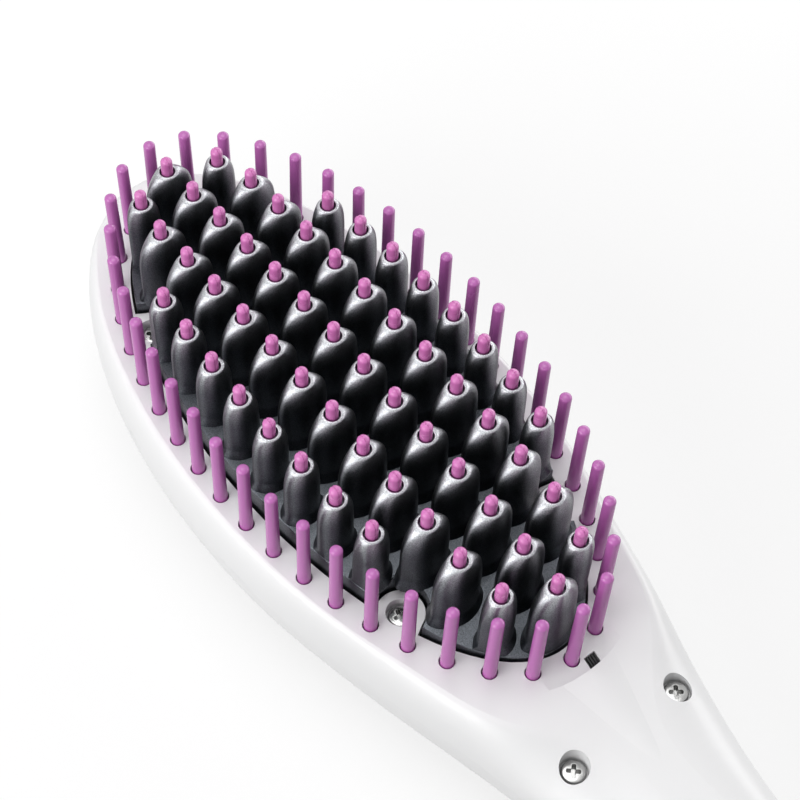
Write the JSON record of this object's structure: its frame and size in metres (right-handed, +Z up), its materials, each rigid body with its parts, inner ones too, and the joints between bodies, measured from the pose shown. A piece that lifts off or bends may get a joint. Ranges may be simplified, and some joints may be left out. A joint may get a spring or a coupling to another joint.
{
  "type": "heated straightening brush",
  "caption": "Heated hair-straightening brush: oval head with a finned heater plate, cool tips and guard bristles, slim handle with push buttons and a swivelling cord inlet.",
  "frame": {"origin": "under the middle of the brush's box, on the surface that its back rests on", "axes": "+X along the handle towards the cord inlet, +Y across the brush, +Z up through the bristles"},
  "size_m": [0.2757, 0.0616, 0.0483],
  "materials": {
    "white_shell": "satin moulded",
    "dark_plate": "dark metallic coating",
    "tip_nylon": "smooth",
    "bristle_nylon": "smooth",
    "dark_frame": "moulded",
    "heater_ceramic": "fired ceramic",
    "mica": "flaked sheet",
    "clamp_aluminium": "rolled",
    "bright_screw": "nickel plated",
    "fuse_metal": "drawn can",
    "probe_glass": "sleeved",
    "module_black": "potted",
    "vent_black": "ribbed",
    "needle_steel": "drawn",
    "board_green": "solder mask",
    "capacitor_sleeve": "shrink sleeve",
    "display_grey": "display glass",
    "window_glass": "smoked clear",
    "panel_black": "gloss",
    "button_grey": "satin",
    "switch_black": "moulded",
    "plunger_white": "moulded",
    "gland_white": "satin moulded",
    "contact_brass": "drawn"
  },
  "bodies": {
    "handle_and_head": {"front_cover": "white_shell", "rear_cover": "white_shell", "heater_plate": "dark_plate", "cool_tips": "tip_nylon", "bristle_ring": "bristle_nylon", "heater_frame": "dark_frame", "contact_holder": "dark_frame", "heater_strips": "heater_ceramic", "mica_sheet": "mica", "clamp_plate": "clamp_aluminium", "head_screws": "bright_screw", "neck_screws": "bright_screw", "plate_screws": "bright_screw", "clamp_screws": "bright_screw", "board_screws": "bright_screw", "thermal_fuse": "fuse_metal", "thermistor": "probe_glass", "ion_generator": "module_black", "relay": "module_black", "triac": "module_black", "ion_vent": "vent_black", "ion_needle": "needle_steel", "main_board": "board_green", "capacitor": "capacitor_sleeve", "display_module": "display_grey", "display_window": "window_glass", "control_panel": "panel_black", "tact_switches": "switch_black", "contact_springs": "contact_brass"},
    "power_key": {"power_button": "button_grey", "power_plunger": "plunger_white"},
    "plus_key": {"plus_button": "button_grey", "plus_plunger": "plunger_white"},
    "minus_key": {"minus_button": "button_grey", "minus_plunger": "plunger_white"},
    "cord_swivel": {"swivel_bush": "gland_white", "slip_rings": "contact_brass"}
  },
  "joints": [
    {"name": "power_press", "type": "slide", "parent": "handle_and_head", "child": "power_key", "axis": [0, 0, 1], "range_m": [0, 0.0005], "stiffness_N_per_m": 3000},
    {"name": "plus_press", "type": "slide", "parent": "handle_and_head", "child": "plus_key", "axis": [0, 0, 1], "range_m": [0, 0.0005], "stiffness_N_per_m": 3000},
    {"name": "minus_press", "type": "slide", "parent": "handle_and_head", "child": "minus_key", "axis": [0, 0, 1], "range_m": [0, 0.0005], "stiffness_N_per_m": 3000},
    {"name": "cord_turn", "type": "hinge", "parent": "handle_and_head", "child": "cord_swivel", "pos_m": [0.13035, 0, 0.013], "axis": [1, 0, 0], "continuous": true}
  ]
}
